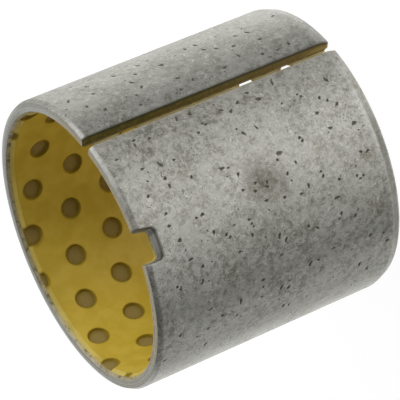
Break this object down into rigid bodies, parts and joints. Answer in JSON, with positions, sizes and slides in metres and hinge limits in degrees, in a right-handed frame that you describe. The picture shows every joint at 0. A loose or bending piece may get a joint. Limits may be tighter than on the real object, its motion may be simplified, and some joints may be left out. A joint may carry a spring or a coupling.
{
  "type": "cab mount bushing",
  "caption": "Split rolled plain bearing bush: steel back, thin bronze layer and acetal lining with round grease pockets, a butt gap and an end notch.",
  "frame": {"origin": "centre of the lead-in end face, on the bore axis", "axes": "+Z along the bore axis towards the notched end, -Y through the middle of the notch"},
  "size_m": [0.039, 0.039, 0.036],
  "materials": {
    "steel": "dull mottled plating with small dark pits and light scratches",
    "bronze": "rough sintered, dark brown",
    "acetal": "smooth ochre yellow, slightly satin"
  },
  "bodies": {
    "root": {"steel_backing": "steel", "bronze_interlayer": "bronze", "acetal_liner": "acetal"}
  },
  "joints": []
}
